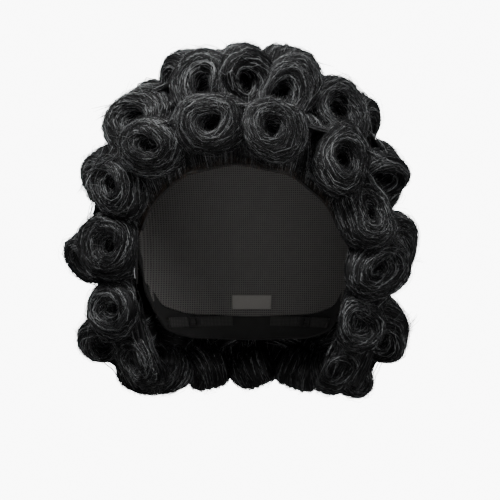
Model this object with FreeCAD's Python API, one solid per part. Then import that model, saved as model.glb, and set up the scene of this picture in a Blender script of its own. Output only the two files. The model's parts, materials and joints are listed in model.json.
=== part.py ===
"""A short, curly costume wig: an open stretch cap with sewn wefts, swept base hair and rolled curls.

Millimetres, +Z up, the face looks along -Y and the wearer's left is +X. The origin is the inner apex
of the crown, where the wig bears on the top of the head.
"""
import FreeCAD, Part
import os
from math import acos, atan2, cos, degrees, radians, sin, sqrt

Vector = FreeCAD.Vector

# ---- Head form that the cap is cut for: two half ellipsoids that meet at the widest level ----
HALF_WIDTH = 76.0
HALF_LENGTH = 98.0
CROWN_HEIGHT = 104.0
LOWER_HEIGHT = 120.0

# ---- Layers, as heights above the head form ----
CAP_OUTER = 1.2
TAPE_INNER, TAPE_OUTER = 1.3, 1.9
WEFT_INNER, WEFT_OUTER = 2.0, 3.2
STAY_INNER, STAY_OUTER = 1.5, 2.1
HAIR_INNER, HAIR_OUTER = 3.5, 17.0
FALL_INNER = 5.0
BINDING_INNER, BINDING_OUTER = -0.3, 1.6
SEAM_GAP = 0.35            # degrees left open between neighbouring panels
EDGE_GAP = 0.8             # the same where a panel meets the curved edge bands
HAIR_GAP = 1.2             # the same between neighbouring masses of hair

# ---- Outline of the cap and of the hair, in degrees ----
# Azimuth 0 is the middle of the forehead and 90 the wearer's left ear; polar angle 0 is the crown.
RIM = ((0, 52), (25, 56), (45, 66), (60, 78), (76, 86), (92, 86), (100, 92), (110, 104), (118, 110),
       (126, 114.5), (135, 117), (150, 119), (180, 120))
CROWN_EDGE = 36.0
FRONT_END = 62.0
BACK_START = 118.0
FRONT_BAND = 8.0
EAR_BAND = 4.0
NAPE_BAND = 8.0
FALL_TOP = 86.0
FALL_START = 67.0
FALL_END = 131.0
HAIR_SPLIT = 85.0          # where the back hair ends and the nape hair starts
FRONT_HAIR_END = 45.0
HAIRLINE_INSET = 1.5

# ---- Small parts ----
EAR_TAB = (77.0, 91.0, 86.7, 99.0)      # azimuths, top and lowest polar angle
EAR_HINGE_POLAR = 86.35
STAY = (83.2, 84.8, 88.0, 97.0)
RIB_AZIMUTHS = {"centre_back_rib": 180.0, "left_back_rib": 150.0, "right_back_rib": 210.0,
                "left_side_rib": 119.5, "right_side_rib": 240.5}
RIB_HALF_ANGLE = 3.4
LABEL = (171.0, 189.0, 104.0, 109.0)
# Polar angle of each sewn row on the back, and the azimuth where it starts.
WEFT_ROWS = ((45.0, 70.0), (55.0, 70.0), (65.0, 70.0), (75.0, 70.0),
             (85.0, 97.0), (94.0, 106.0), (103.0, 113.0), (112.0, 127.0))

# ---- Nape adjusters: hook, elastic strap and looped tape, all on one circle ----
BELT_LEVEL = -152.0
BELT_HALF_HEIGHT = 3.5
BELT_SPAN = (128.0, 145.0, 162.0)       # azimuths where the circle meets the band
BELT_SLOPE = 0.33                       # the band leans in towards the neck
ANCHOR_DEPTH = 0.6                      # where the strap is sewn to the nape band
TAPE_DEPTH = (0.95, 1.3)
LOOP_DEPTH = (1.3, 1.7)
HOOK_DEPTH = (2.0, 3.0)
STRAP_DEPTH = (2.1, 2.8)
LOOP_COUNT = 5
LOOP_PITCH = 5.0                        # degrees about the circle's centre
HOOK_ANGLE = 8.0
STRAP_ANGLE = 17.0
HOOK_WINDOW = 4.4

# ---- Rolled curls ----
CURL_SINK = 11.0
TAIL = 0.8                              # a curl's inner end against its open end
LEAN_OUT = 0.18                         # how far an outer curl's open end lifts off the head
CUT_CLEARANCE = 0.9                     # between a curl and the hair that it lies on
CUTTER_SEAMS = (0.0, 37.0, 71.0, 19.0, 53.0)

# Open end's centre, the way that it faces, radius, length and radius of the hollow.
FRONT_CURLS = {
    "front_roll_right": ((-17, -101, -13), (-0.08, -1.0, 0.10), 21.5, 48.0, 8.5),
    "front_roll_left": ((26, -100, -17), (0.10, -1.0, 0.08), 21.5, 48.0, 8.5),
    "temple_roll_right": ((-60, -87, -28), (-0.30, -1.0, 0.05), 20.5, 44.0, 8.0),
    "temple_roll_left": ((75, -82, -38), (0.35, -1.0, 0.0), 22.0, 46.0, 9.0),
    "top_roll_right": ((-24, -60, 14), (-0.10, -1.0, 0.20), 25.0, 46.0, 10.0),
    "top_roll_left": ((31, -56, 11), (0.12, -1.0, 0.20), 24.5, 46.0, 10.0),
    "top_side_roll_right": ((-75, -46, -7), (-0.45, -1.0, 0.15), 25.0, 44.0, 10.0),
    "top_side_roll_left": ((72, -40, -2), (0.45, -1.0, 0.15), 24.0, 44.0, 10.0),
    "brow_curl_right": ((-88, -62, -55), (-0.45, -1.0, 0.0), 21.0, 40.0, 7.5),
    "brow_curl_left": ((91, -66, -72), (0.40, -1.0, 0.0), 22.0, 40.0, 6.5),
    "ear_curl_right": ((-94, -52, -95), (-0.40, -1.0, 0.0), 24.0, 44.0, 8.0),
    "ear_curl_left": ((98, -46, -110), (0.45, -1.0, -0.05), 24.0, 44.0, 8.0),
    "cheek_curl_right": ((-92, -36, -139), (-0.50, -1.0, -0.15), 22.5, 44.0, 8.0),
    "cheek_curl_left": ((84, -38, -149), (0.50, -1.0, -0.15), 21.5, 44.0, 8.0),
    "jaw_curl_right": ((-76, -24, -176), (-0.50, -1.0, -0.30), 20.5, 40.0, 7.5),
    "jaw_curl_left": ((66, -26, -182), (0.50, -1.0, -0.30), 19.0, 38.0, 7.0),
}

# Rows of curls behind the face-framing ones: the azimuth and polar angle of each curl and the turn of its
# open end away from straight down, then the row's radius, length and hollow radius.
CURL_ROWS = {
    "side_curls": (((88, 62, -55), (272, 64, 55), (95, 86, -70), (265, 88, 70), (98, 110, -60),
                    (262, 110, 60)), 21.0, 42.0, 8.5),
    "crown_curls": (((2, 20, 15), (72, 20, -25), (144, 19, 20), (216, 19, -30), (290, 20, 25)),
                    22.0, 42.0, 9.0),
    "upper_back_curls": (((98, 42, -35), (133, 41, 25), (169, 42, -15), (205, 41, 30), (240, 42, -25),
                          (274, 42, 40)), 23.5, 42.0, 9.0),
    "middle_back_curls": (((114, 65, 30), (141, 64, -25), (168, 65, 20), (195, 64, -30), (222, 65, 15),
                           (249, 65, -30)), 23.5, 42.0, 9.0),
    "lower_back_curls": (((120, 88, -25), (144, 87, 30), (168, 88, -20), (192, 87, 25), (216, 88, -30),
                          (240, 88, 25)), 23.0, 42.0, 8.5),
    "nape_curls": (((119, 110, 25), (142, 109, -20), (165, 110, 30), (190, 109, -25), (215, 110, 20),
                    (240, 109, -25)), 22.0, 40.0, 8.0),
    "neckline_curls": (((112, 126, -70), (134, 126, 75), (157, 126, -75), (180, 126, 80), (203, 126, 75),
                        (226, 126, -75), (248, 126, 70)), 16.0, 32.0, 6.0),
}


def interpolated(keys, azimuth):
    """Value between the two keys around an azimuth, the same on both sides of the head."""
    folded = abs((azimuth + 180.0) % 360.0 - 180.0)
    for (start, low), (end, high) in zip(keys, keys[1:]):
        if folded <= end:
            share = (folded - start) / (end - start)
            smooth = share * share * (3 - 2 * share)
            return low + (high - low) * (0.5 * share + 0.5 * smooth)
    return keys[-1][1]


def rim(azimuth):
    return interpolated(RIM, azimuth)


def on_form(azimuth, polar, height):
    """The point above the head form, in the vertical plane of its azimuth."""
    across, along = sin(radians(azimuth)), cos(radians(azimuth))
    reach = 1 / sqrt((across / (HALF_WIDTH + height)) ** 2 + (along / (HALF_LENGTH + height)) ** 2)
    tall = CROWN_HEIGHT if polar <= 90 else LOWER_HEIGHT
    out = reach * sin(radians(polar))
    return Vector(out * across, -out * along, -CROWN_HEIGHT + (tall + height) * cos(radians(polar)))


def valued(limit, *place):
    return limit(*place) if callable(limit) else limit


def spline(points):
    curve = Part.BSplineCurve()
    curve.interpolate(points)
    return curve.toShape()


def section(azimuth, top, low, inner, outer, steps):
    """Closed outline of a layer in the vertical plane of one azimuth."""
    polars = [top + (low - top) * i / steps for i in range(steps + 1)]
    inside = [on_form(azimuth, p, valued(inner, azimuth, p)) for p in polars]
    outside = [on_form(azimuth, p, valued(outer, azimuth, p)) for p in polars]
    edges = [spline(inside), Part.makeLine(inside[-1], outside[-1]),
             spline(outside[::-1]), Part.makeLine(outside[0], inside[0])]
    return Part.Wire(edges)


def panel(start, end, top, low, inner, outer, spacing=7.0, steps=6):
    """A curved panel of the cap or the hair between two azimuths and two polar angles."""
    count = max(2, round(abs(end - start) / spacing))
    wires = []
    for i in range(count + 1):
        azimuth = start + (end - start) * i / count
        wires.append(section(azimuth, valued(top, azimuth), valued(low, azimuth), inner, outer, steps))
    return Part.makeLoft(wires, True, False)


def dome(inner, outer, top, low):
    """A ring or bowl of constant polar limits, all the way round the crown."""
    steps = 12
    polars = [top + (low - top) * i / steps for i in range(steps + 1)]

    def rail(height):
        return [Vector((HALF_LENGTH + height) * sin(radians(p)), 0,
                       -CROWN_HEIGHT + (CROWN_HEIGHT + height) * cos(radians(p))) for p in polars]
    inside, outside = rail(inner), rail(outer)
    edges = [spline(inside), Part.makeLine(inside[-1], outside[-1]),
             spline(outside[::-1]), Part.makeLine(outside[0], inside[0])]
    body = Part.Face(Part.Wire(edges)).revolve(Vector(0, 0, 0), Vector(0, 0, 1), 360)
    squeeze = FreeCAD.Matrix()
    squeeze.scale(Vector((HALF_WIDTH + outer) / (HALF_LENGTH + outer), 1, 1))
    return body.transformGeometry(squeeze)


def both_sides(start, end):
    """The same stretch of azimuth on the wearer's left and right."""
    return {"left": (start, end), "right": (360.0 - end, 360.0 - start)}


def write(name, shape):
    """Checks that every solid is sound, and writes the node."""
    assert shape.isValid(), name
    assert shape.Solids and all(s.Volume > 0 for s in shape.Solids), name
    shape.exportStep(os.path.join("parts", name + ".step"))
    NODES[name] = shape


NODES = {}


# ---------------------------------------------------------------- cap
def cap_panels():
    write("crown_net", dome(0.0, CAP_OUTER, 0.0, CROWN_EDGE))
    top = CROWN_EDGE + SEAM_GAP
    for side, (start, end) in both_sides(SEAM_GAP, BACK_START).items():
        write(side + "_side_panel", panel(start, end, top, panel_low, 0.0, CAP_OUTER, spacing=4.0))
    write("back_panel", panel(BACK_START + SEAM_GAP, 360 - BACK_START - SEAM_GAP, top,
                              lambda a: rim(a) - NAPE_BAND - SEAM_GAP, 0.0, CAP_OUTER))


def panel_low(azimuth):
    """Lower edge of a side panel: it stops above the front band, then above the ear band."""
    folded = abs((azimuth + 180.0) % 360.0 - 180.0)
    return rim(azimuth) - band_width(folded) - EDGE_GAP


def band_width(folded):
    """The front band narrows to the ear band's width towards the temple."""
    share = min(1.0, max(0.0, (folded - FRONT_HAIR_END) / (FRONT_END - FRONT_HAIR_END)))
    return FRONT_BAND + (EAR_BAND - FRONT_BAND) * share


def edge_bands():
    write("front_hairline_band", panel(-FRONT_END, FRONT_END, lambda a: rim(a) - band_width(abs(a)), rim,
                                       0.0, CAP_OUTER))
    for side, (start, end) in both_sides(FRONT_END + SEAM_GAP, BACK_START - SEAM_GAP).items():
        write(side + "_ear_band", panel(start, end, lambda a: rim(a) - EAR_BAND, rim, 0.0, CAP_OUTER, 4.0))
    write("nape_band", panel(BACK_START, 360 - BACK_START, lambda a: rim(a) - NAPE_BAND, rim,
                             0.0, CAP_OUTER))
    bead = 0.9
    write("front_edge_binding", panel(-FRONT_END, FRONT_END, lambda a: rim(a) + 0.1,
                                      lambda a: rim(a) + bead, BINDING_INNER, BINDING_OUTER))
    write("nape_edge_binding", panel(BACK_START, 360 - BACK_START, lambda a: rim(a) + 0.1,
                                     lambda a: rim(a) + bead, BINDING_INNER, BINDING_OUTER))


def ear_tabs():
    start, end, top, lowest = EAR_TAB
    middle, half = (start + end) / 2, (end - start) / 2

    def tongue(azimuth):
        folded = abs((azimuth + 180.0) % 360.0 - 180.0)
        return lowest - 6.0 * ((folded - middle) / half) ** 2
    for side, span in both_sides(start, end).items():
        write(side + "_ear_tab", panel(*span, top, tongue, 0.0, CAP_OUTER, 2.0))
    for side, span in both_sides(*STAY[:2]).items():
        write(side + "_ear_stay", panel(*span, *STAY[2:], STAY_INNER, STAY_OUTER))


def ribs_and_wefts():
    half = 2.5
    write("crown_seam_tape", dome(TAPE_INNER, TAPE_OUTER, CROWN_EDGE - half, CROWN_EDGE + half))
    for name, azimuth in RIB_AZIMUTHS.items():
        low = rim(azimuth) - NAPE_BAND - 1.0
        write(name, panel(azimuth - RIB_HALF_ANGLE, azimuth + RIB_HALF_ANGLE, CROWN_EDGE + half + 0.3,
                          low, TAPE_INNER, TAPE_OUTER, 3.4))
    half_track = 0.8
    rings = [dome(WEFT_INNER, WEFT_OUTER, p - half_track, p + half_track) for p in (10.0, 20.0, 30.0)]
    write("crown_wefts", Part.makeCompound(rings))
    write("back_wefts", Part.makeCompound(
        [panel(start, 360 - start, p - half_track, p + half_track, WEFT_INNER, WEFT_OUTER, 9.0, 2)
         for p, start in WEFT_ROWS]))


def size_label():
    write("size_label", panel(*LABEL, -0.9, -0.15, 3.0))


# ---------------------------------------------------------------- nape adjusters
def circle_through(a, b, c):
    """Centre and radius of the level circle through three points."""
    d = 2 * (a.x * (b.y - c.y) + b.x * (c.y - a.y) + c.x * (a.y - b.y))
    squares = [p.x ** 2 + p.y ** 2 for p in (a, b, c)]
    x = (squares[0] * (b.y - c.y) + squares[1] * (c.y - a.y) + squares[2] * (a.y - b.y)) / d
    y = (squares[0] * (c.x - b.x) + squares[1] * (a.x - c.x) + squares[2] * (b.x - a.x)) / d
    centre = Vector(x, y, BELT_LEVEL)
    return centre, sqrt((a.x - x) ** 2 + (a.y - y) ** 2)


def belt_circle():
    polar = degrees(acos((BELT_LEVEL + CROWN_HEIGHT) / LOWER_HEIGHT))
    return circle_through(*[on_form(a, polar, 0.0) for a in BELT_SPAN])


def belt_piece(start, end, depth, half_height=BELT_HALF_HEIGHT, level=0.0):
    """A stretch of strap on the left adjuster's circle, between two angles from its outer end."""
    centre, radius = belt_circle()
    polar = degrees(acos((BELT_LEVEL + CROWN_HEIGHT) / LOWER_HEIGHT))
    outer_end = on_form(BELT_SPAN[0], polar, 0.0)
    zero = degrees(atan2(outer_end.y - centre.y, outer_end.x - centre.x))
    low, high = level - half_height, level + half_height
    shallow, deep = depth
    corners = [(radius - shallow + BELT_SLOPE * low, low), (radius - shallow + BELT_SLOPE * high, high),
               (radius - deep + BELT_SLOPE * high, high), (radius - deep + BELT_SLOPE * low, low)]
    outline = Part.makePolygon([Vector(r, 0, z) for r, z in corners + corners[:1]])
    piece = Part.Face(outline).revolve(Vector(0, 0, 0), Vector(0, 0, 1), end - start)
    piece.rotate(Vector(0, 0, 0), Vector(0, 0, 1), zero + start)
    piece.translate(centre)
    return piece


def mirrored(shape):
    return shape.mirror(Vector(0, 0, 0), Vector(1, 0, 0))


def adjusters():
    anchor = 5.0
    gap = 0.35
    strap = belt_piece(0.0, anchor, (ANCHOR_DEPTH, STRAP_DEPTH[1])).fuse(
        belt_piece(anchor, STRAP_ANGLE - gap, STRAP_DEPTH)).removeSplitter()
    frame = belt_piece(STRAP_ANGLE, STRAP_ANGLE + HOOK_ANGLE, HOOK_DEPTH)
    window = belt_piece(STRAP_ANGLE + 1.2, STRAP_ANGLE + 1.2 + HOOK_WINDOW, (0.0, 5.0), 2.0)
    hook = frame.cut(window)
    tape = belt_piece(anchor + 1.0, anchor + 6.0 + LOOP_PITCH * (LOOP_COUNT + 2), TAPE_DEPTH)
    loops = [belt_piece(start, start + 1.4, LOOP_DEPTH, 3.0)
             for start in [STRAP_ANGLE + 1.5 + LOOP_PITCH * i for i in range(LOOP_COUNT)]]
    for loop in loops:
        tape = tape.fuse(loop)
    for name, shape in (("adjuster_strap", strap), ("adjuster_hook", hook), ("loop_tape", tape)):
        write("left_" + name, shape)
        write("right_" + name, mirrored(shape))


# ---------------------------------------------------------------- base hair
def hair_height(azimuth, polar):
    """Thickness of the swept hair: full over the head, thin at the front hairline."""
    folded = abs((azimuth + 180.0) % 360.0 - 180.0)
    if folded > 80.0:
        return HAIR_OUTER
    inside = rim(azimuth) - HAIRLINE_INSET - polar
    share = min(1.0, max(0.0, inside / 14.0))
    thin = 5.0 + (HAIR_OUTER - 5.0) * share
    blend = min(1.0, max(0.0, (folded - 60.0) / 20.0))
    return thin + (HAIR_OUTER - thin) * blend


def base_hair():
    top = CROWN_EDGE + HAIR_GAP
    low = FALL_TOP - HAIR_GAP
    write("crown_hair", dome(HAIR_INNER, HAIR_OUTER, 0.0, CROWN_EDGE))
    write("front_hair", panel(-FRONT_HAIR_END, FRONT_HAIR_END, top, lambda a: rim(a) - HAIRLINE_INSET,
                              HAIR_INNER, hair_height))
    for side, (start, end) in both_sides(FRONT_HAIR_END + HAIR_GAP, BACK_START - HAIR_GAP).items():
        write(side + "_side_hair",
              panel(start, end, top, lambda a: min(low, rim(a) - HAIRLINE_INSET), HAIR_INNER, hair_height))
    write("back_hair", panel(BACK_START, 360 - BACK_START, top, HAIR_SPLIT, HAIR_INNER, HAIR_OUTER))
    for side, (start, end) in both_sides(FALL_START, BACK_START - HAIR_GAP).items():
        write(side + "_side_fall", panel(start, end, FALL_TOP, FALL_END, FALL_INNER, HAIR_OUTER))
    write("nape_hair", panel(BACK_START, 360 - BACK_START, HAIR_SPLIT + HAIR_GAP, FALL_END,
                             HAIR_INNER, HAIR_OUTER))


# ---------------------------------------------------------------- curls
def barrel(end, toward, radius, length, hollow):
    """One rolled curl: a barrel with a rounded lip and a hollow, open at `end` and facing `toward`."""
    lip = (radius - hollow) / 2
    back_radius = radius * TAIL
    round_off = back_radius * 0.4
    depth = length * 0.45
    corner = 0.7071

    def at(r, s):
        return Vector(r, 0, -s)
    edges = [
        Part.makeLine(at(0, depth), at(hollow * 0.6, depth)),
        Part.makeLine(at(hollow * 0.6, depth), at(hollow, lip)),
        Part.Arc(at(hollow, lip), at(hollow + lip, 0), at(radius, lip)).toShape(),
        Part.makeLine(at(radius, lip), at(back_radius, length - round_off)),
        Part.Arc(at(back_radius, length - round_off),
                 at(back_radius - round_off * (1 - corner), length - round_off * (1 - corner)),
                 at(back_radius - round_off, length)).toShape(),
        Part.makeLine(at(back_radius - round_off, length), at(0, length)),
        Part.makeLine(at(0, length), at(0, depth)),
    ]
    solid = Part.Face(Part.Wire(edges)).revolve(Vector(0, 0, 0), Vector(0, 0, 1), 360)
    turn = FreeCAD.Rotation(Vector(0, 0, 1), Vector(*toward))
    solid.Placement = FreeCAD.Placement(Vector(*end), turn)
    return solid


def row_curl(azimuth, polar, turn, radius, length, hollow):
    """A curl that lies on the hair, its open end turned from straight down the head by `turn`."""
    height = HAIR_OUTER + radius - CURL_SINK
    middle = on_form(azimuth, polar, height)
    down = (on_form(azimuth, polar + 1, height) - on_form(azimuth, polar - 1, height)).normalize()
    out = (middle - on_form(azimuth, polar, 0.0)).normalize()
    aside = out.cross(down).normalize()
    toward = down * cos(radians(turn)) + aside * sin(radians(turn)) + out * LEAN_OUT
    toward.normalize()
    end = middle + toward * (length / 2)
    return tuple(end), tuple(toward), radius, length, hollow


def cutter_height(polar):
    """Point of the head cutter's outline at a polar angle, before it is squeezed to the head's width."""
    height = HAIR_OUTER + CUT_CLEARANCE
    tall = CROWN_HEIGHT if polar <= 90 else LOWER_HEIGHT
    return Vector((HALF_LENGTH + height) * sin(radians(polar)), 0,
                  -CROWN_HEIGHT + (tall + height) * cos(radians(polar)))


def head_cutter(seam):
    """Everything inside the base hair's outer surface, down to its lower edge.

    `seam` is the angle at which the revolved surface is stitched: a cut can fail where it meets a curl."""
    steps = 22
    rail = [cutter_height((FALL_END + SEAM_GAP) * i / steps) for i in range(steps + 1)]
    foot = Vector(0, 0, rail[-1].z)
    edges = [spline(rail), Part.makeLine(rail[-1], foot), Part.makeLine(foot, rail[0])]
    body = Part.Face(Part.Wire(edges)).revolve(Vector(0, 0, 0), Vector(0, 0, 1), 360)
    body.rotate(Vector(0, 0, 0), Vector(0, 0, 1), seam)
    height = HAIR_OUTER + CUT_CLEARANCE
    squeeze = FreeCAD.Matrix()
    squeeze.scale(Vector((HALF_WIDTH + height) / (HALF_LENGTH + height), 1, 1))
    return body.transformGeometry(squeeze)


def stands_clear(shape):
    """Whether a curl stays outside the base hair, worked out from its own surface points."""
    lowest = cutter_height(FALL_END + SEAM_GAP).z + 0.1
    for point in shape.tessellate(0.5)[0]:
        tall = CROWN_HEIGHT if point.z > -CROWN_HEIGHT else LOWER_HEIGHT
        level = ((point.x / (HALF_WIDTH + HAIR_OUTER)) ** 2 + (point.y / (HALF_LENGTH + HAIR_OUTER)) ** 2
                 + ((point.z + CROWN_HEIGHT) / (tall + HAIR_OUTER)) ** 2)
        if point.z > lowest and level < 1:
            return False
    return True


def largest(shape):
    return max(shape.Solids, key=lambda s: s.Volume)


def core(curl):
    """The two ends of a curl's axis."""
    end, toward, radius, length, hollow = curl
    tip = Vector(*end)
    return tip, tip - Vector(*toward).normalize() * length


def near(one, other):
    """Whether two curls can touch: their axes come closer than their radii together."""
    samples = [i / 8 for i in range(9)]
    (a, b), (c, d) = core(one), core(other)
    gap = min((a + (b - a) * s).distanceToPoint(c + (d - c) * t) for s in samples for t in samples)
    return gap < one[2] + other[2]


def fitted(curl, cutters, placed):
    """A curl cut back to the curls that are already in place and to the base hair."""
    shape = barrel(*curl)
    for other in placed:
        if near(curl, other):
            shape = largest(shape.cut(barrel(*other)))
    placed.append(curl)
    for cutter in cutters:
        trimmed = largest(shape.cut(cutter))
        if stands_clear(trimmed):
            return trimmed
    raise ValueError(f"no cutter clears the curl at {curl[0]}")


def curls():
    cutters = [head_cutter(seam) for seam in CUTTER_SEAMS]
    placed = []
    for name, curl in FRONT_CURLS.items():
        write(name, fitted(curl, cutters, placed))
    for name, (places, *sizes) in CURL_ROWS.items():
        group = [fitted(row_curl(*place, *sizes), cutters, placed) for place in places]
        write(name, Part.makeCompound(group))


def report_joints():
    """Prints the joint axes and the overall size, for the record."""
    centre, radius = belt_circle()
    print("adjuster axis", [round(v, 2) for v in centre], "radius", round(radius, 2))
    middle = (EAR_TAB[0] + EAR_TAB[1]) / 2
    pivot = on_form(middle, EAR_HINGE_POLAR, CAP_OUTER / 2)
    along = on_form(EAR_TAB[1], EAR_HINGE_POLAR, 0.6) - on_form(EAR_TAB[0], EAR_HINGE_POLAR, 0.6)
    print("ear hinge", [round(v, 2) for v in pivot], [round(v, 4) for v in along.normalize()])
    box = Part.makeCompound(list(NODES.values())).BoundBox
    print("nodes", len(NODES), "box", [round(v, 1) for v in (box.XMin, box.YMin, box.ZMin,
                                                              box.XMax, box.YMax, box.ZMax)])


os.makedirs("parts", exist_ok=True)
cap_panels()
edge_bands()
ear_tabs()
ribs_and_wefts()
size_label()
adjusters()
base_hair()
curls()
report_joints()
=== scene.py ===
"""Looks of the short curly wig: fibres, rolled curls, cap cloth and light, built round the CAD frame."""
import json
import math

import bpy
import numpy as np
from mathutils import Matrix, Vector


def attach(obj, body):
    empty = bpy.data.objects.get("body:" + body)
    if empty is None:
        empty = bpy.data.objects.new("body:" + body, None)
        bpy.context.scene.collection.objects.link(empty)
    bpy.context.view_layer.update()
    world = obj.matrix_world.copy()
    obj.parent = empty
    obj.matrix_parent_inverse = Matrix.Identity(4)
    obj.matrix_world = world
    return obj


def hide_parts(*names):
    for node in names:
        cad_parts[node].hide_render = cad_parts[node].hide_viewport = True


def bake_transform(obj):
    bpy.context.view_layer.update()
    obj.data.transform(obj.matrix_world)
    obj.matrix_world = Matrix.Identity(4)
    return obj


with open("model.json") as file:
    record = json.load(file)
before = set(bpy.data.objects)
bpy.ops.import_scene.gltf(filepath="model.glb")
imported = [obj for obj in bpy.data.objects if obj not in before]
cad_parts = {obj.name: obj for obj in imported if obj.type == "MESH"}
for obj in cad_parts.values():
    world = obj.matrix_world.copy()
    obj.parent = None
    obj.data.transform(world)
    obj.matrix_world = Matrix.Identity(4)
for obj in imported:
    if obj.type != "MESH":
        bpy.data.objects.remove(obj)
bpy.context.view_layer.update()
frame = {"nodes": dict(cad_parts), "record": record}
RNG = np.random.default_rng(7)
MM = 0.001

# ---- Head form that the cap is cut for, in millimetres, as in the CAD ----
HALF_WIDTH, HALF_LENGTH, CROWN_HEIGHT, LOWER_HEIGHT = 76.0, 98.0, 104.0, 120.0
HAIR_INNER, HAIR_OUTER, FALL_INNER = 3.5, 17.0, 5.0
RIM_AZIMUTHS = (0, 25, 45, 60, 76, 92, 100, 110, 118, 126, 135, 150, 180)
RIM_POLARS = (52, 56, 66, 78, 86, 86, 92, 104, 110, 114.5, 117, 119, 120)
CROWN_EDGE, FALL_TOP, FALL_START, FALL_END = 36.0, 86.0, 67.0, 131.0
FRONT_EDGE, BACK_EDGE, BACK_BREAK = 45, 118, 85.0   # azimuths where hair parts, and polar angle at the back
HAIRLINE_INSET = 1.5
HAIRLINE_HEIGHT, HAIRLINE_FILL = 4.6, 22.0          # mm high at the hairline, full this many degrees in
CURL_SINK, LEAN_OUT = 11.0, 0.18
PUFF, CROWN_PUFF = 12.0, 5.0            # how far loose hair fills up between curls, low down and on top
CAP_CLEAR, CAP_EASE = 5.5, 1.5          # mm off the head form where easing starts, and how far it gives way
WARP = 1.5                              # mm, the slow wave that takes the whole style out of true
CROWN_SPREAD, CROWN_SQUEEZE = 0.80, 0.86   # the crown pad's half span in radians, and its share of that angle

# ---- Fibres ----
STRAND_RADIUS = (0.14, 0.27)            # mm, finest and thickest bundle of fibres
STRAND_STEPS = 13
CRIMP = 0.32                            # mm, small kinks along every fibre
FLY_RADIUS, BABY_RADIUS = 0.08, 0.09
HAIRLINE_STRANDS, BABY_STRANDS, CROWN_STRANDS = 2300, 700, 900
CURL_STRANDS = {"front": 760, "row": 280}
FIBRE_SHARES_WITH_PAINTED_HIGHLIGHTS = (0.62, 0.22, 0.16)       # of black, grey and light fibres; the light ones are painted highlights, in place of the shine of light on black fibre
CURL_TURNS = 1.3
FRONT_UNWIND, ROW_UNWIND = 0.42, 0.20   # how much wider the first turn swings, away from the head
BRIDGE_RISE = 0.72                      # locks leave a curl at this share of its radius
BRIDGE_REACH, BRIDGE_LENGTHWISE = 1.3, 0.5
BRIDGE_STRANDS, BRIDGE_STEPS = 80, 10
TIGHTEN = 0.07                          # how much the last turn has closed in
SLIM = 0.95                             # wall radius against the CAD curl
PROFILE_SAMPLES, PROFILE_WINDOW = 90, 13

# Open end's centre, the way that it faces, radius, length and radius of the hollow, as in the CAD.
FRONT_CURLS = {
    "front_roll_right": ((-17, -101, -13), (-0.08, -1.0, 0.10), 21.5, 48.0, 8.5),
    "front_roll_left": ((26, -100, -17), (0.10, -1.0, 0.08), 21.5, 48.0, 8.5),
    "temple_roll_right": ((-60, -87, -28), (-0.30, -1.0, 0.05), 20.5, 44.0, 8.0),
    "temple_roll_left": ((75, -82, -38), (0.35, -1.0, 0.0), 22.0, 46.0, 9.0),
    "top_roll_right": ((-24, -60, 14), (-0.10, -1.0, 0.20), 25.0, 46.0, 10.0),
    "top_roll_left": ((31, -56, 11), (0.12, -1.0, 0.20), 24.5, 46.0, 10.0),
    "top_side_roll_right": ((-75, -46, -7), (-0.45, -1.0, 0.15), 25.0, 44.0, 10.0),
    "top_side_roll_left": ((72, -40, -2), (0.45, -1.0, 0.15), 24.0, 44.0, 10.0),
    "brow_curl_right": ((-88, -62, -55), (-0.45, -1.0, 0.0), 21.0, 40.0, 7.5),
    "brow_curl_left": ((91, -66, -72), (0.40, -1.0, 0.0), 22.0, 40.0, 6.5),
    "ear_curl_right": ((-94, -52, -95), (-0.40, -1.0, 0.0), 24.0, 44.0, 8.0),
    "ear_curl_left": ((98, -46, -110), (0.45, -1.0, -0.05), 24.0, 44.0, 8.0),
    "cheek_curl_right": ((-92, -36, -139), (-0.50, -1.0, -0.15), 22.5, 44.0, 8.0),
    "cheek_curl_left": ((84, -38, -149), (0.50, -1.0, -0.15), 21.5, 44.0, 8.0),
    "jaw_curl_right": ((-76, -24, -176), (-0.50, -1.0, -0.30), 20.5, 40.0, 7.5),
    "jaw_curl_left": ((66, -26, -182), (0.50, -1.0, -0.30), 19.0, 38.0, 7.0),
}

# Rows of curls: azimuth, polar angle and turn of each open end, then radius, length and hollow radius.
CURL_ROWS = {
    "side_curls": (((88, 62, -55), (272, 64, 55), (95, 86, -70), (265, 88, 70), (98, 110, -60),
                    (262, 110, 60)), 21.0, 42.0, 8.5),
    "crown_curls": (((2, 20, 15), (72, 20, -25), (144, 19, 20), (216, 19, -30), (290, 20, 25)),
                    22.0, 42.0, 9.0),
    "upper_back_curls": (((98, 42, -35), (133, 41, 25), (169, 42, -15), (205, 41, 30), (240, 42, -25),
                          (274, 42, 40)), 23.5, 42.0, 9.0),
    "middle_back_curls": (((114, 65, 30), (141, 64, -25), (168, 65, 20), (195, 64, -30), (222, 65, 15),
                           (249, 65, -30)), 23.5, 42.0, 9.0),
    "lower_back_curls": (((120, 88, -25), (144, 87, 30), (168, 88, -20), (192, 87, 25), (216, 88, -30),
                          (240, 88, 25)), 23.0, 42.0, 8.5),
    "nape_curls": (((119, 110, 25), (142, 109, -20), (165, 110, 30), (190, 109, -25), (215, 110, 20),
                    (240, 109, -25)), 22.0, 40.0, 8.0),
    "neckline_curls": (((112, 126, -70), (134, 126, 75), (157, 126, -75), (180, 126, 80), (203, 126, 75),
                        (226, 126, -75), (248, 126, 70)), 16.0, 32.0, 6.0),
}


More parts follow.
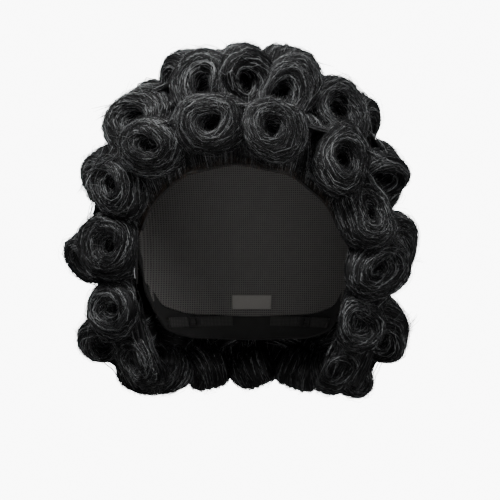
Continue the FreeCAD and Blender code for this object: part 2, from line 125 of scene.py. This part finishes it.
# ---------------------------------------------------------------- geometry of the head form
def on_form(azimuth, polar, height):
    """Points above the head form; the arguments are numbers or arrays, in degrees and millimetres."""
    azimuth, polar, height = np.broadcast_arrays(*(np.asarray(v, float) for v in (azimuth, polar, height)))
    across, along = np.sin(np.radians(azimuth)), np.cos(np.radians(azimuth))
    reach = 1 / np.sqrt((across / (HALF_WIDTH + height)) ** 2 + (along / (HALF_LENGTH + height)) ** 2)
    tall = np.where(polar <= 90, CROWN_HEIGHT, LOWER_HEIGHT) + height
    out = reach * np.sin(np.radians(polar))
    return np.stack([out * across, -out * along, -CROWN_HEIGHT + tall * np.cos(np.radians(polar))], -1)


def rim(azimuth):
    folded = np.abs((np.asarray(azimuth, float) + 180.0) % 360.0 - 180.0)
    return np.interp(folded, RIM_AZIMUTHS, RIM_POLARS)


def unit(v):
    return v / np.maximum(np.linalg.norm(v, axis=-1, keepdims=True), 1e-9)


def outward(points):
    """The head form's outward direction near each point."""
    low = points[..., 2] < -CROWN_HEIGHT
    tall = np.where(low, LOWER_HEIGHT, CROWN_HEIGHT)
    return unit(np.stack([points[..., 0] / HALF_WIDTH ** 2, points[..., 1] / HALF_LENGTH ** 2,
                          (points[..., 2] + CROWN_HEIGHT) / tall ** 2], -1))


def height_of(points):
    """Roughly how far each point stands off the head form."""
    low = points[..., 2] < -CROWN_HEIGHT
    tall = np.where(low, LOWER_HEIGHT, CROWN_HEIGHT)
    scale = np.sqrt((points[..., 0] / HALF_WIDTH) ** 2 + (points[..., 1] / HALF_LENGTH) ** 2
                    + ((points[..., 2] + CROWN_HEIGHT) / tall) ** 2)
    return (scale - 1) * np.linalg.norm(points + (0, 0, CROWN_HEIGHT), axis=-1) / np.maximum(scale, 1e-6)


def warped(points):
    """The whole head of hair, pushed out of true by a slow wave that dies out at the cap."""
    x, y, z = points[..., 0], points[..., 1], points[..., 2]
    loose = np.clip((height_of(points) - 5.0) / 16.0, 0, 1)[..., None]
    wave = np.stack([np.sin(0.071 * y + 0.093 * z + 1.3) + 0.6 * np.sin(0.19 * z - 0.13 * x + 0.5),
                     np.sin(0.083 * x - 0.067 * z + 2.1) + 0.6 * np.sin(0.17 * x + 0.15 * y + 4.0),
                     np.sin(0.079 * x + 0.061 * y + 0.4) + 0.6 * np.sin(0.21 * y - 0.11 * z + 2.7)], -1)
    return points + WARP * loose * wave


def clear_of_cap(points):
    """Eases points that would enter the cap outwards, so that none comes within 4 mm of the head form."""
    height = height_of(points)
    eased = CAP_CLEAR - CAP_EASE * (1 - np.exp(np.minimum(height - CAP_CLEAR, 0) / 6.0))
    return points + outward(points) * np.where(height < CAP_CLEAR, eased - height, 0)[..., None]


# ---------------------------------------------------------------- meshes from arrays
def add_mesh(name, chunks, materials):
    """One object from (vertices in mm, faces, material index) chunks; each chunk's faces are one size."""
    starts = np.cumsum([0] + [len(v) for v, _, _ in chunks])
    verts = np.concatenate([v for v, _, _ in chunks]) * MM
    faces = [f + start for (_, f, _), start in zip(chunks, starts)]
    sizes = np.concatenate([np.full(len(f), f.shape[1]) for f in faces])
    loops = np.concatenate([f.ravel() for f in faces])
    slots = np.concatenate([np.full(len(f), m) for f, (_, _, m) in zip(faces, chunks)])
    mesh = bpy.data.meshes.new(name)
    mesh.vertices.add(len(verts))
    mesh.vertices.foreach_set("co", verts.astype(np.float32).ravel())
    mesh.loops.add(len(loops))
    mesh.loops.foreach_set("vertex_index", loops.astype(np.int32))
    mesh.polygons.add(len(sizes))
    mesh.polygons.foreach_set("loop_start", np.concatenate([[0], np.cumsum(sizes)[:-1]]).astype(np.int32))
    mesh.polygons.foreach_set("loop_total", sizes.astype(np.int32))
    mesh.polygons.foreach_set("material_index", slots.astype(np.int32))
    mesh.polygons.foreach_set("use_smooth", np.ones(len(sizes), bool))
    mesh.update(calc_edges=True)
    for material in materials:
        mesh.materials.append(material)
    obj = bpy.data.objects.new(name, mesh)
    bpy.context.scene.collection.objects.link(obj)
    return obj


def tubes(paths, radii, slot=0):
    """Closed three-sided tubes along paths (strands, steps, 3), as chunks for add_mesh."""
    strands, steps, _ = paths.shape
    along = unit(np.gradient(paths, axis=1))
    side = unit(np.cross(along, outward(paths) + 0.01))
    lift = np.cross(side, along)
    angles = np.radians([90, 210, 330])
    ring = (side[:, :, None] * np.cos(angles)[:, None] + lift[:, :, None] * np.sin(angles)[:, None])
    verts = (paths[:, :, None] + ring * radii[:, :, None, None]).reshape(-1, 3)
    base = (np.arange(strands)[:, None, None] * steps + np.arange(steps - 1)[None, :, None]) * 3
    here, there = np.arange(3), (np.arange(3) + 1) % 3
    quads = np.stack([base + here, base + there, base + 3 + there, base + 3 + here], -1).reshape(-1, 4)
    first = np.arange(strands)[:, None] * steps * 3
    last = first + (steps - 1) * 3
    # The end triangles share the walls' vertices, so they count back from an empty chunk of their own.
    caps = np.concatenate([first + np.array([2, 1, 0]), last + np.array([0, 1, 2])]) - len(verts)
    return [(verts, quads, slot), (np.zeros((0, 3)), caps, slot)]


def strand_radii(count, steps):
    """Radii that thin out towards both tips."""
    share = np.linspace(0, 1, steps)
    taper = 0.35 + 0.65 * np.clip(np.minimum(share, 1 - share) * 6, 0, 1)
    return RNG.uniform(*STRAND_RADIUS, (count, 1)) * taper


def strands_on(surface, count, start, end, drift, lift, steps=STRAND_STEPS, wobble=0.5, u_range=(0, 1)):
    """Fibres that follow a surface(u, t) -> (points, normals) along t, scattered across u."""
    t0 = RNG.uniform(*start, (count, 1))
    t1 = RNG.uniform(*end, (count, 1))
    share = np.linspace(0, 1, steps)
    t = t0 + (t1 - t0) * share
    u = RNG.uniform(*u_range, (count, 1)) + RNG.uniform(*drift, (count, 1)) * share
    phase = RNG.uniform(0, 2 * np.pi, (2, count, 1))
    bend = RNG.uniform(0.6, 2.4, (2, count, 1))
    points, normals = surface(u, t)
    across = unit(np.cross(normals, unit(np.gradient(points, axis=1))))
    height = RNG.uniform(*lift, (count, 1)) + 0.5 * wobble * np.sin(2 * np.pi * bend[0] * share + phase[0])
    aside = wobble * np.sin(2 * np.pi * bend[1] * share + phase[1])
    height = height + RNG.normal(0, CRIMP, height.shape)
    aside = aside + RNG.normal(0, CRIMP, aside.shape)
    return points + normals * height[..., None] + across * aside[..., None]


def numeric_normals(place, u, t, sign=1.0):
    """Normals of a surface of (u, t), by small steps."""
    step = 1e-3
    du = place(u + step, t) - place(u - step, t)
    dt = place(u, t + step) - place(u, t - step)
    return sign * unit(np.cross(du, dt))


# ---------------------------------------------------------------- curls
def curl_frame(end, toward, radius, length, hollow):
    """Origin at the open end, the axis it faces along, up away from the head, and sideways."""
    end, axis = np.array(end, float), unit(np.array(toward, float))
    away = outward(end - axis * length * 0.5)
    up = unit(away - axis * np.dot(away, axis))
    return end, axis, up, np.cross(axis, up)


def row_curl(azimuth, polar, turn, radius, length, hollow):
    height = HAIR_OUTER + radius - CURL_SINK
    middle = on_form(azimuth, polar, height)
    down = unit(on_form(azimuth, polar + 1, height) - on_form(azimuth, polar - 1, height))
    out = unit(middle - on_form(azimuth, polar, 0.0))
    aside = unit(np.cross(out, down))
    turn = math.radians(turn)
    toward = unit(down * math.cos(turn) + aside * math.sin(turn) + out * LEAN_OUT)
    return middle + toward * (length / 2), toward, radius, length, hollow


def curl_profile(radius, length, hollow):
    """Radius and depth along a curl's wall: up out of the hollow, down over the mouth, back to the far end."""
    face = radius - hollow
    r = hollow + face * np.array([-0.97 * hollow / face, -0.35 * hollow / face, 0.0, 0.10, 0.28, 0.55,
                                  0.80, 0.96, 1.0, 0.94, 0.80, 0.45])
    s = length * np.array([0.50, 0.34, 0.10, 0.02, 0.0, 0.045, 0.12, 0.24, 0.45, 0.75, 0.92, 1.0])
    arc = np.concatenate([[0], np.cumsum(np.hypot(np.diff(r), np.diff(s)))])
    arc = arc / arc[-1]
    fine = np.linspace(0, 1, PROFILE_SAMPLES)
    kernel = np.hanning(PROFILE_WINDOW) / np.hanning(PROFILE_WINDOW).sum()

    def smooth(values):
        even = np.interp(fine, arc, values)
        padded = np.pad(even, PROFILE_WINDOW // 2, mode="reflect", reflect_type="odd")
        return np.convolve(padded, kernel, "valid")
    return fine, smooth(r), smooth(s)


def curl_surface(curl, seed, unwind):
    """surface(u, t): u along the wall from hollow to far end, t along the fibres as they wind in.

    The first turn swings wide on the side away from the head, and the later ones close in under it."""
    end, axis, up, side = curl_frame(*curl)
    radius, length, hollow = curl[2] * SLIM, curl[3], curl[4]
    arc, wall_r, wall_s = curl_profile(radius, length, hollow)
    own = np.random.default_rng(seed)
    oval, phase = own.uniform(0.05, 0.14), own.uniform(0, 6.28, 6)
    ridge, slant = own.uniform(7, 10), own.uniform(0.6, 1.3)
    way = 1.0 if end[0] < 0 else -1.0

    def place(u, t):
        angle = 2 * np.pi * (CURL_TURNS * t - 0.06)
        r = np.interp(u, arc, wall_r)
        s = np.interp(u, arc, wall_s)
        away = 0.5 - 0.5 * np.cos(angle)
        opening = 1 + unwind * away * np.clip(1 - t, 0, 1.2) ** 2 - TIGHTEN * t
        r = r * opening * (1 + oval * np.cos(2 * angle + phase[0]) + 0.03 * np.cos(3 * angle + phase[1]))
        ruts = np.sin(2 * np.pi * (ridge * u + slant * 0.5 * np.sin(angle * 0.8 + phase[2])) + phase[3])
        ruts = ruts + 0.6 * np.sin(2 * np.pi * (2.3 * ridge * u - 0.5 * np.cos(angle + phase[4])))
        fade = np.clip(r / hollow - 0.5, 0, 1)
        r = r + 0.6 * ruts * fade
        s = s - 0.5 * ruts * np.clip(1 - s / (radius * 0.6), 0, 1)
        s = s + 2.2 * np.sin(angle + phase[0]) * np.clip(1.2 - u, 0, 1) + 3.0 * away * np.clip(1 - t, 0, 1.2)
        spoke = -up * np.cos(angle)[..., None] + way * side * np.sin(angle)[..., None]
        return warped(end + spoke * r[..., None] - axis * s[..., None])

    return lambda u, t: (place(u, t), numeric_normals(place, u, t, -way))


def curl_chunks(curl, seed, count, unwind):
    """Wound wall, fibres, loose loops at the mouth and flyaways of one curl."""
    surface = curl_surface(curl, seed, unwind)
    chunks = pad_chunks(surface, 2.6, 40, 64, tuck=0.5)
    wound = strands_on(surface, count, (-0.06, 0.35), (0.7, 1.04), (-0.16, 0.0), (0.0, 1.2),
                       u_range=(0.12, 0.92))
    chunks += tubes_with_painted_highlights(wound, strand_radii(count, STRAND_STEPS))
    mouth = count // 4
    rings = strands_on(surface, mouth, (0.1, 0.5), (0.9, 1.12), (-0.14, 0.02), (0.2, 1.8), wobble=0.9,
                       u_range=(0.12, 0.45))
    chunks += tubes_with_painted_highlights(rings, strand_radii(mouth, STRAND_STEPS) * 0.8)
    loose = count // 6
    stray = strands_on(surface, loose, (0.0, 0.6), (0.5, 1.0), (-0.50, 0.45), (0.4, 3.6), wobble=2.4,
                       u_range=(0.15, 0.9))
    chunks += tubes_with_painted_highlights(stray, np.full((loose, STRAND_STEPS), FLY_RADIUS))
    return [(clear_of_cap(verts), faces, slot) for verts, faces, slot in chunks]


def tubes_with_painted_highlights(paths, radii):
    """Tubes shared out over the fibre colours: mostly black, some grey, and a few light ones that are painted
    highlights.
    """
    shade = RNG.choice(len(FIBRE_SHARES_WITH_PAINTED_HIGHLIGHTS), len(paths), p=FIBRE_SHARES_WITH_PAINTED_HIGHLIGHTS)
    chunks = []
    for slot in range(len(FIBRE_SHARES_WITH_PAINTED_HIGHLIGHTS)):
        if (shade == slot).any():
            chunks += tubes(paths[shade == slot], radii[shade == slot], slot)
    return chunks


# ---------------------------------------------------------------- swept hair
def pad_chunks(place, thickness, nu, nt, tuck=0.25):
    """A closed pad over the surface place(u, t), thinner towards its edges."""
    u, t = np.meshgrid(np.linspace(0, 1, nu), np.linspace(0, 1, nt), indexing="ij")
    top, normal = place(u, t)
    edge = np.clip(np.minimum.reduce([u * nu, (1 - u) * nu, t * nt, (1 - t) * nt]) / 2.5, tuck, 1)
    top = top - normal * (thickness * (1 - edge) * 0.5)[..., None]
    low = top - normal * (thickness * edge)[..., None]
    verts = np.concatenate([top.reshape(-1, 3), low.reshape(-1, 3)])
    i, j = np.meshgrid(np.arange(nu - 1), np.arange(nt - 1), indexing="ij")
    a = (i * nt + j).ravel()
    quads = np.stack([a, a + nt, a + nt + 1, a + 1], -1)
    shift = nu * nt
    under = np.stack([a, a + 1, a + nt + 1, a + nt], -1) + shift
    border = np.concatenate([np.arange(nt - 1), (nt - 1) + nt * np.arange(nu - 1),
                             (nu * nt - 1) - np.arange(nt - 1), (nu - 1) * nt - nt * np.arange(nu - 1)])
    following = np.roll(border, -1)
    walls = np.stack([border, following, following + shift, border + shift], -1)
    return [(verts, np.concatenate([quads, under, walls]), 0)]


def region(az_start, az_end, top, low, inner, outer, ripple=0.9):
    """surface(u, t) over a stretch of the head: u across the azimuth, t from the top down."""
    def place(u, t):
        azimuth = az_start + (az_end - az_start) * u
        high, bottom = (limit(azimuth) if callable(limit) else limit for limit in (top, low))
        polar = high + (bottom - high) * t
        height = outer(azimuth, polar) if callable(outer) else outer
        height = height + ripple * np.sin(azimuth * 0.42 + 2.0 * np.sin(polar * 0.07)) \
            + 0.5 * ripple * np.sin(azimuth * 1.13 + polar * 0.11)
        return on_form(azimuth, polar, np.maximum(height, inner + 0.6))
    sign = 1.0 if az_end > az_start else -1.0
    return lambda u, t: (place(u, t), numeric_normals(place, u, t, -sign))


def hair_height(azimuth, polar):
    """Full over the head, thin at the front hairline."""
    folded = np.abs((azimuth + 180.0) % 360.0 - 180.0)
    filled = np.clip((rim(azimuth) - HAIRLINE_INSET - polar) / HAIRLINE_FILL, 0, 1)
    full = HAIR_OUTER + CROWN_PUFF
    thin = HAIRLINE_HEIGHT + (full - HAIRLINE_HEIGHT) * filled
    blend = np.clip((folded - 60.0) / 20.0, 0, 1)
    return thin + (HAIR_OUTER - thin) * blend * (1 - filled)


def fall_height(azimuth, polar):
    """The hair over the ears starts thin behind the face-framing curls and fills out towards the back."""
    folded = np.abs((azimuth + 180.0) % 360.0 - 180.0)
    thin = FALL_INNER + 3.0
    return thin + (HAIR_OUTER + PUFF - thin) * np.clip((folded - FALL_START) / 28.0, 0, 1)


def region_chunks(surface, count, thickness, nu, nt, both=False, fringe=1.0):
    """A region's pad and swept fibres, with more fibres on its inner side if both is set."""
    chunks = pad_chunks(surface, thickness, nu, nt)
    strands = strands_on(surface, count, (-0.02, 0.45), (0.55, fringe), (-0.06, 0.06), (0.0, 1.0), wobble=0.8)
    chunks += tubes_with_painted_highlights(strands, strand_radii(count, STRAND_STEPS))
    if both:
        inner = strands_on(surface, count, (0.25, 0.6), (0.85, fringe), (-0.06, 0.06),
                           (-thickness - 1.2, -thickness + 0.2), wobble=1.0)
        chunks += tubes_with_painted_highlights(inner, strand_radii(count, STRAND_STEPS))
    return chunks


# ---------------------------------------------------------------- materials
def new_material(name):
    material = bpy.data.materials.new(name)
    material.use_nodes = True
    nodes = material.node_tree.nodes
    return material, nodes, material.node_tree.links, nodes["Principled BSDF"]


def ramp(nodes, links, source, stops):
    node = nodes.new("ShaderNodeValToRGB")
    elements = node.color_ramp.elements
    while len(elements) < len(stops):
        elements.new(0.5)
    for element, (position, colour) in zip(elements, stops):
        element.position = position
        element.color = (*colour, 1.0)
    links.new(source, node.inputs["Fac"])
    return node


def noise(nodes, links, scale, detail=2.0, stretch=(1, 1, 1)):
    coords = nodes.new("ShaderNodeTexCoord")
    mapping = nodes.new("ShaderNodeMapping")
    mapping.inputs["Scale"].default_value = stretch
    texture = nodes.new("ShaderNodeTexNoise")
    texture.inputs["Scale"].default_value = scale
    texture.inputs["Detail"].default_value = detail
    links.new(coords.outputs["Object"], mapping.inputs["Vector"])
    links.new(mapping.outputs["Vector"], texture.inputs["Vector"])
    return texture


def hair_material(name, stops, roughness, specular, scale=520.0):
    material, nodes, links, shader = new_material(name)
    speckle = noise(nodes, links, scale, 3.0)
    colour = ramp(nodes, links, speckle.outputs["Fac"], stops)
    links.new(colour.outputs["Color"], shader.inputs["Base Color"])
    shader.inputs["Roughness"].default_value = roughness
    shader.inputs["Specular IOR Level"].default_value = specular
    return material


def cloth_material(name, dark, light, pitch, roughness=0.8, depth=0.3, kind="BANDS"):
    """Woven cloth: two crossed sets of bands at the thread's pitch, in metres."""
    material, nodes, links, shader = new_material(name)
    coords = nodes.new("ShaderNodeTexCoord")
    waves = []
    for direction in ("X", "Z"):
        wave = nodes.new("ShaderNodeTexWave")
        wave.bands_direction = direction
        wave.inputs["Scale"].default_value = 0.314 / pitch
        wave.inputs["Distortion"].default_value = 0.6
        links.new(coords.outputs["Object"], wave.inputs["Vector"])
        waves.append(wave)
    mix = nodes.new("ShaderNodeMath")
    mix.operation = "MULTIPLY" if kind == "BANDS" else "MAXIMUM"
    links.new(waves[0].outputs["Fac"], mix.inputs[0])
    links.new(waves[1].outputs["Fac"], mix.inputs[1])
    colour = ramp(nodes, links, mix.outputs[0], ((0.1, dark), (0.8, light)))
    links.new(colour.outputs["Color"], shader.inputs["Base Color"])
    bump = nodes.new("ShaderNodeBump")
    bump.inputs["Strength"].default_value = depth
    bump.inputs["Distance"].default_value = pitch * 0.5
    links.new(mix.outputs[0], bump.inputs["Height"])
    links.new(bump.outputs["Normal"], shader.inputs["Normal"])
    shader.inputs["Roughness"].default_value = roughness
    return material


def plain_material(name, dark, light, roughness, metallic=0.0, scale=300.0):
    material, nodes, links, shader = new_material(name)
    speckle = noise(nodes, links, scale)
    colour = ramp(nodes, links, speckle.outputs["Fac"], ((0.3, dark), (0.7, light)))
    links.new(colour.outputs["Color"], shader.inputs["Base Color"])
    shader.inputs["Roughness"].default_value = roughness
    shader.inputs["Metallic"].default_value = metallic
    return material


HAIR = [
    hair_material("black_fibre", ((0.35, (0.0008, 0.0008, 0.001)), (0.7, (0.004, 0.004, 0.0045))),
                  0.55, 0.18),
    hair_material("grey_fibre", ((0.35, (0.007, 0.007, 0.008)), (0.7, (0.030, 0.031, 0.032))), 0.40, 0.40),
    # Painted highlight: the light fibres carry a lighter base colour that stands in for the shine of light on
    # black fibre.
    hair_material("painted_highlight_fibre", ((0.35, (0.07, 0.072, 0.075)), (0.7, (0.24, 0.25, 0.25))), 0.45, 0.45),
]
BABY = hair_material("hairline_fibre", ((0.35, (0.010, 0.007, 0.005)), (0.7, (0.05, 0.034, 0.024))),
                     0.5, 0.3)
CLOTH = {
    "net": cloth_material("stretch_net", (0.006, 0.006, 0.006), (0.110, 0.106, 0.102), 0.0016, kind="NET"),
    "lace": cloth_material("hairline_lace", (0.004, 0.003, 0.003), (0.020, 0.015, 0.012), 0.0009, kind="NET"),
    "edge_tape": cloth_material("satin_tape", (0.004, 0.004, 0.004), (0.014, 0.013, 0.013), 0.0007, 0.8),
    "weft": cloth_material("weft_stitching", (0.006, 0.006, 0.006), (0.035, 0.034, 0.034), 0.0012, 0.7),
    "elastic": cloth_material("ribbed_elastic", (0.010, 0.010, 0.010), (0.060, 0.057, 0.055), 0.0010, 0.75),
    "hook_plastic": plain_material("black_nylon", (0.010, 0.010, 0.010), (0.022, 0.022, 0.022), 0.28),
    "stay_metal": plain_material("soft_wire", (0.55, 0.55, 0.57), (0.75, 0.75, 0.77), 0.35, 1.0),
    "label": cloth_material("blank_label", (0.20, 0.19, 0.18), (0.32, 0.31, 0.29), 0.0005, 0.7),
}


# ---------------------------------------------------------------- pieces
def finish_piece(obj, body, node_names):
    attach(obj, body)
    if node_names:
        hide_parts(*node_names)


def repaint_cap():
    slots = {part["node"]: part["material_slot"] for part in frame["record"]["subparts"]}
    for node, obj in frame["nodes"].items():
        if slots[node] in CLOTH:
            for holder in obj.material_slots:
                holder.material = CLOTH[slots[node]]


def make_curls():
    seed = 100
    for name, curl in FRONT_CURLS.items():
        seed += 1
        chunks = curl_chunks(curl, seed, CURL_STRANDS["front"], FRONT_UNWIND)
        finish_piece(add_mesh(name + "_hair", chunks, HAIR), "cap", [name])
    for name, (places, *sizes) in CURL_ROWS.items():
        for number, place in enumerate(places, 1):
            seed += 1
            chunks = curl_chunks(row_curl(*place, *sizes), seed, CURL_STRANDS["row"], ROW_UNWIND)
            finish_piece(add_mesh(f"{name}_{number}", chunks, HAIR), "cap", [name])


def all_curls():
    curls = list(FRONT_CURLS.values())
    for places, *sizes in CURL_ROWS.values():
        curls += [row_curl(*place, *sizes) for place in places]
    return curls


def bridge_surface(one, other):
    """surface(u, t) from the top of one curl, t across to the top of its neighbour, u along both."""
    frames = [(curl_frame(*curl), curl[2] * SLIM, curl[3]) for curl in (one, other)]

    def place(u, t):
        ends = []
        for (end, axis, up, _), radius, length in frames:
            depth = length * (0.14 + 0.72 * u)
            ends.append(end - axis * depth[..., None] + up * radius * BRIDGE_RISE)
        sag = -2.5 * np.sin(np.pi * t)
        middle = ends[0] * (1 - t)[..., None] + ends[1] * t[..., None]
        return warped(middle + outward(middle) * (sag + 0.9 * np.sin(23 * u + 4 * t))[..., None])
    return lambda u, t: (place(u, t), outward(place(u, t)))


def side_by_side(one, other):
    """Whether two curls are neighbours across their axes, and not one in front of the other."""
    (end, axis, _, _), (other_end, other_axis, _, _) = curl_frame(*one), curl_frame(*other)
    gap = (other_end - other_axis * other[3] * 0.5) - (end - axis * one[3] * 0.5)
    apart = np.linalg.norm(gap)
    lengthwise = max(abs(np.dot(gap, axis)), abs(np.dot(gap, other_axis))) / apart
    return apart < BRIDGE_REACH * (one[2] + other[2]) and lengthwise < BRIDGE_LENGTHWISE


def make_bridges():
    """Loose locks between neighbours that lie side by side, so that the curls read as one head of hair."""
    curls = all_curls()
    chunks = []
    for i, one in enumerate(curls):
        for other in curls[i + 1:]:
            if side_by_side(one, other):
                surface = bridge_surface(one, other)
                chunks += pad_chunks(surface, 3.0, 10, 8)
                locks = strands_on(surface, BRIDGE_STRANDS, (-0.30, 0.2), (0.8, 1.30), (-0.25, 0.25), (0.0, 1.6),
                                   steps=BRIDGE_STEPS, wobble=1.0)
                chunks += tubes_with_painted_highlights(locks, strand_radii(BRIDGE_STRANDS, BRIDGE_STEPS))
    chunks = [(clear_of_cap(verts), faces, slot) for verts, faces, slot in chunks]
    finish_piece(add_mesh("bridging_locks", chunks, HAIR), "cap", [])


def make_base_hair():
    """The swept hair between the crown and the edges, one pad and its fibres for each CAD mass of hair."""
    full = HAIR_OUTER + PUFF

    def hairline(azimuth):
        return rim(azimuth) - HAIRLINE_INSET

    def over_ear(azimuth):
        return np.minimum(FALL_TOP, hairline(azimuth))

    # Surface, fibres, thickness in mm, mesh steps each way, and whether there are fibres on the inside too.
    regions = {
        "front_hair": (region(-FRONT_EDGE, FRONT_EDGE, CROWN_EDGE, hairline, HAIR_INNER, hair_height),
                       1200, 3.0, 40, 14, False),
        "left_side_hair": (region(FRONT_EDGE, BACK_EDGE, CROWN_EDGE, over_ear, HAIR_INNER, hair_height),
                           800, 5.0, 36, 18, False),
        "right_side_hair": (region(-BACK_EDGE, -FRONT_EDGE, CROWN_EDGE, over_ear, HAIR_INNER, hair_height),
                            800, 5.0, 36, 18, False),
        "back_hair": (region(BACK_EDGE, 360 - BACK_EDGE, CROWN_EDGE, BACK_BREAK, HAIR_INNER, full),
                      700, 7.0, 48, 22, False),
        "left_side_fall": (region(FALL_START, BACK_EDGE, FALL_TOP, FALL_END - 2, FALL_INNER, fall_height),
                           550, 6.0, 26, 22, True),
        "right_side_fall": (region(-BACK_EDGE, -FALL_START, FALL_TOP, FALL_END - 2, FALL_INNER, fall_height),
                            550, 6.0, 26, 22, True),
        "nape_hair": (region(BACK_EDGE, 360 - BACK_EDGE, BACK_BREAK, FALL_END - 2, HAIR_INNER, full),
                      800, 7.5, 48, 22, True),
    }
    for name, (surface, count, thickness, nu, nt, both) in regions.items():
        chunks = region_chunks(surface, count, thickness, nu, nt, both, 1.06 if both else 1.0)
        finish_piece(add_mesh(name + "_swept", chunks, HAIR), "cap", [name])


def make_crown_hair():
    """Hair over the crown, swept from the front to the back in one pad."""
    def place(u, t):
        x = (u - 0.5) * 2 * CROWN_SPREAD
        y = (t - 0.5) * 2 * CROWN_SPREAD
        x, y = x * np.sqrt(1 - y * y / 2), y * np.sqrt(1 - x * x / 2)
        polar = np.degrees(np.hypot(x, y)) * CROWN_SQUEEZE
        azimuth = np.degrees(np.arctan2(x, -y))
        height = HAIR_OUTER + CROWN_PUFF + 1.0 * np.sin(40 * u + 3 * t) + 0.6 * np.sin(95 * u - 4 * t)
        return on_form(azimuth, polar, height)

    def surface(u, t):
        points = place(u, t)
        return points, outward(points)
    chunks = region_chunks(surface, CROWN_STRANDS, 7.0, 34, 34)
    finish_piece(add_mesh("crown_hair_swept", chunks, HAIR), "cap", ["crown_hair"])


def make_hairline():
    """The thin strip that sweeps up off the forehead, and the finest fibres at its very edge."""
    strands = (HAIRLINE_STRANDS, 1)
    share = np.linspace(0, 1, STRAND_STEPS)
    azimuth = RNG.uniform(-62, 62, strands)
    start = rim(azimuth) + RNG.uniform(-2.5, 1.0, strands)
    reach = RNG.uniform(9, 19, strands)
    polar = start - reach * share
    lean = RNG.normal(0.0, 3.5, strands) + 5.0 * np.sign(azimuth) * np.clip(np.abs(azimuth) / 30, 0, 1)
    height = 1.0 + (HAIR_OUTER + RNG.uniform(-2, 2.5, strands)) * np.sin(share * np.pi / 2) ** 1.1
    swept = on_form(azimuth + lean * share ** 1.3, polar, height)
    chunks = tubes_with_painted_highlights(swept, strand_radii(HAIRLINE_STRANDS, STRAND_STEPS) * 0.85)
    finish_piece(add_mesh("front_hairline_strands", chunks, HAIR), "cap", [])

    strands = (BABY_STRANDS, 1)
    azimuth = RNG.uniform(-64, 64, strands)
    start = rim(azimuth) + RNG.uniform(0.2, 2.2, strands)
    polar = start - RNG.uniform(4, 9, strands) * share
    lean = RNG.normal(0.0, 4.0, strands)
    height = 0.8 + RNG.uniform(2, 6, strands) * share
    fine = on_form(azimuth + lean * share ** 1.4, polar, height)
    chunks = tubes(fine, np.full((BABY_STRANDS, STRAND_STEPS), BABY_RADIUS))
    finish_piece(add_mesh("baby_hairs", chunks, [BABY]), "cap", [])


def make_adjuster_straps():
    """Elastic straps, copied from the CAD straps and given the ribbed elastic cloth."""
    for side in ("left", "right"):
        node = side + "_adjuster_strap"
        source = frame["nodes"][node]
        strap = bpy.data.objects.new(side + "_elastic_strap", source.data.copy())
        bpy.context.scene.collection.objects.link(strap)
        for index in range(len(strap.data.materials)):
            strap.data.materials[index] = CLOTH["elastic"]
        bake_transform(strap)
        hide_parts(node)


# ---------------------------------------------------------------- stage
def make_stage():
    """A seamless pale surround that only the camera sees, and soft studio lights."""
    bpy.ops.mesh.primitive_uv_sphere_add(radius=6.0, location=(0, 0, -0.1))
    surround = bpy.context.object
    surround.name = "surround"
    pale, _, _, shader = new_material("pale_paper")
    shader.inputs["Base Color"].default_value = (0.95, 0.95, 0.95, 1)
    shader.inputs["Emission Color"].default_value = (1, 1, 1, 1)
    shader.inputs["Emission Strength"].default_value = 9.0
    shader.inputs["Roughness"].default_value = 0.9
    surround.data.materials.append(pale)
    surround.visible_diffuse = False
    surround.visible_glossy = False
    surround.visible_shadow = False

    def lamp(name, place, aim, size, power):
        data = bpy.data.lights.new(name, "AREA")
        data.shape = "DISK"
        data.size, data.energy = size, power
        light = bpy.data.objects.new(name, data)
        light.location = place
        direction = np.array(aim) - np.array(place)
        light.rotation_euler = Vector(direction).to_track_quat("-Z", "Y").to_euler()
        bpy.context.scene.collection.objects.link(light)
    middle = (0, 0, -0.09)
    lamp("key", (-0.6, -1.2, 1.3), middle, 0.4, 72)
    lamp("fill", (1.2, -1.2, 0.5), middle, 0.7, 18)
    lamp("top", (0.1, 0.2, 1.5), middle, 0.7, 18)
    lamp("low", (0.0, -1.4, -0.5), middle, 0.8, 5)
    lamp("rear", (0.3, 1.5, 0.7), middle, 1.0, 14)
    world = bpy.data.worlds.new("studio")
    bpy.context.scene.world = world
    world.use_nodes = True
    background = world.node_tree.nodes["Background"]
    background.inputs["Color"].default_value = (1, 1, 1, 1)
    background.inputs["Strength"].default_value = 0.30


def make_camera():
    data = bpy.data.cameras.new("camera")
    data.sensor_width = 36.0
    data.lens = 162.0
    camera = bpy.data.objects.new("camera", data)
    bpy.context.scene.collection.objects.link(camera)
    azimuth, distance = math.radians(3.5), 1.6
    aim = np.array([0.0043, 0.0, -0.0987])
    place = aim + distance * np.array([math.sin(azimuth), -math.cos(azimuth), 0.0])
    camera.location = place
    camera.rotation_euler = (math.pi / 2, 0, azimuth)
    bpy.context.scene.camera = camera


make_camera()
make_stage()
repaint_cap()
make_crown_hair()
make_base_hair()
make_hairline()
make_curls()
make_bridges()
make_adjuster_straps()
